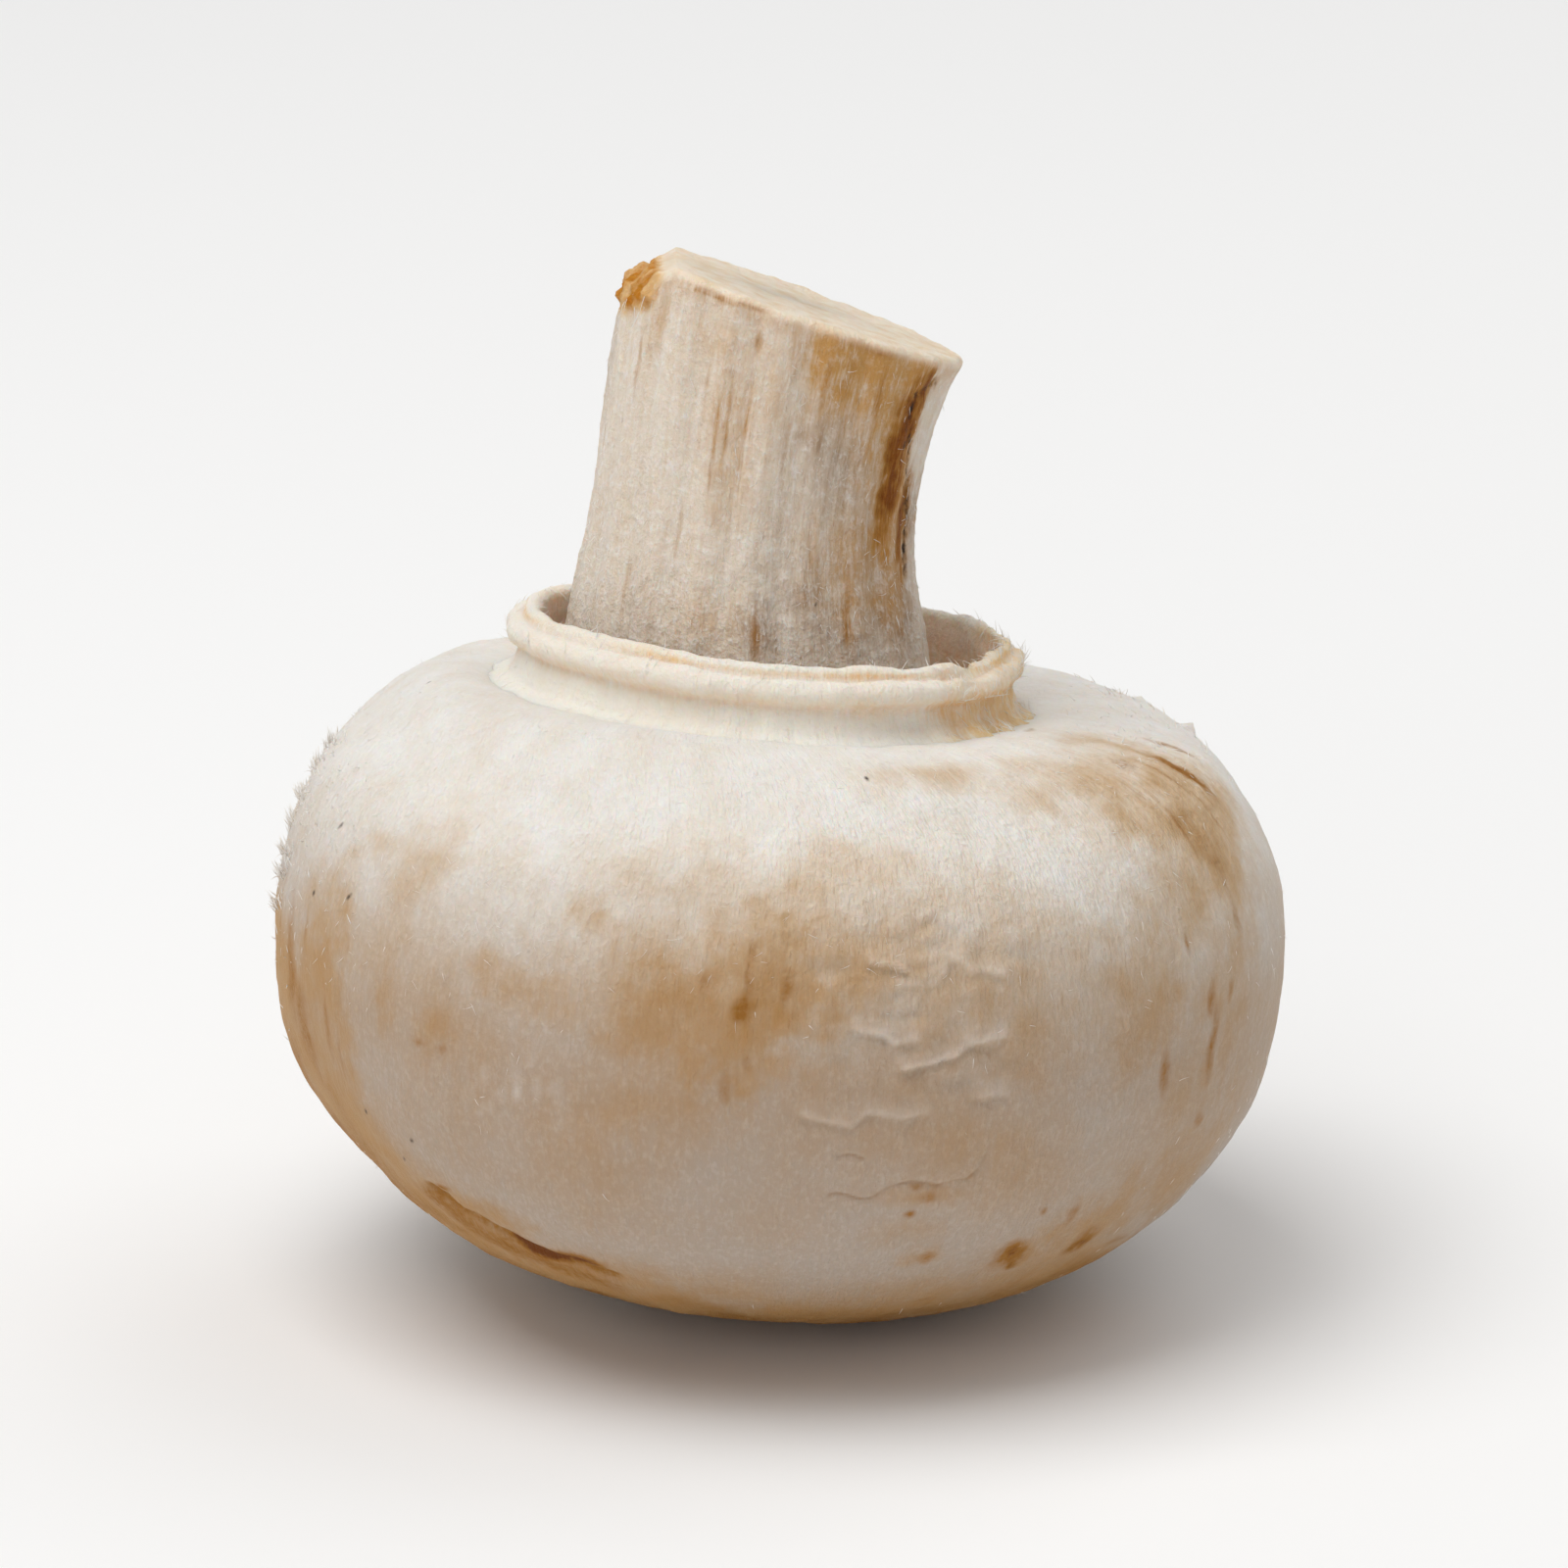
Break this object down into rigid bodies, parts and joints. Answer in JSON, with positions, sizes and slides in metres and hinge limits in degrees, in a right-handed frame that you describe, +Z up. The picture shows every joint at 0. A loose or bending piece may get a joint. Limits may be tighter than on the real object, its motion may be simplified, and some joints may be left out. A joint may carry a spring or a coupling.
{
  "type": "button mushroom",
  "caption": "Closed button mushroom lying cap down, with a collar of torn veil round its stem and an oblique knife cut at the stem's end.",
  "frame": {"origin": "middle of the small flat on the cap's crown, on which the mushroom rests", "axes": "+Z up from the table, along the stem to within a few degrees; -Y is the side that the picture shows, +X is the low side of the knife cut"},
  "size_m": [0.0453, 0.0437, 0.0475],
  "materials": {
    "flesh": "matte, pale cream flesh with a soft fibrous skin"
  },
  "bodies": {
    "root": {"mushroom": "flesh"}
  },
  "joints": []
}
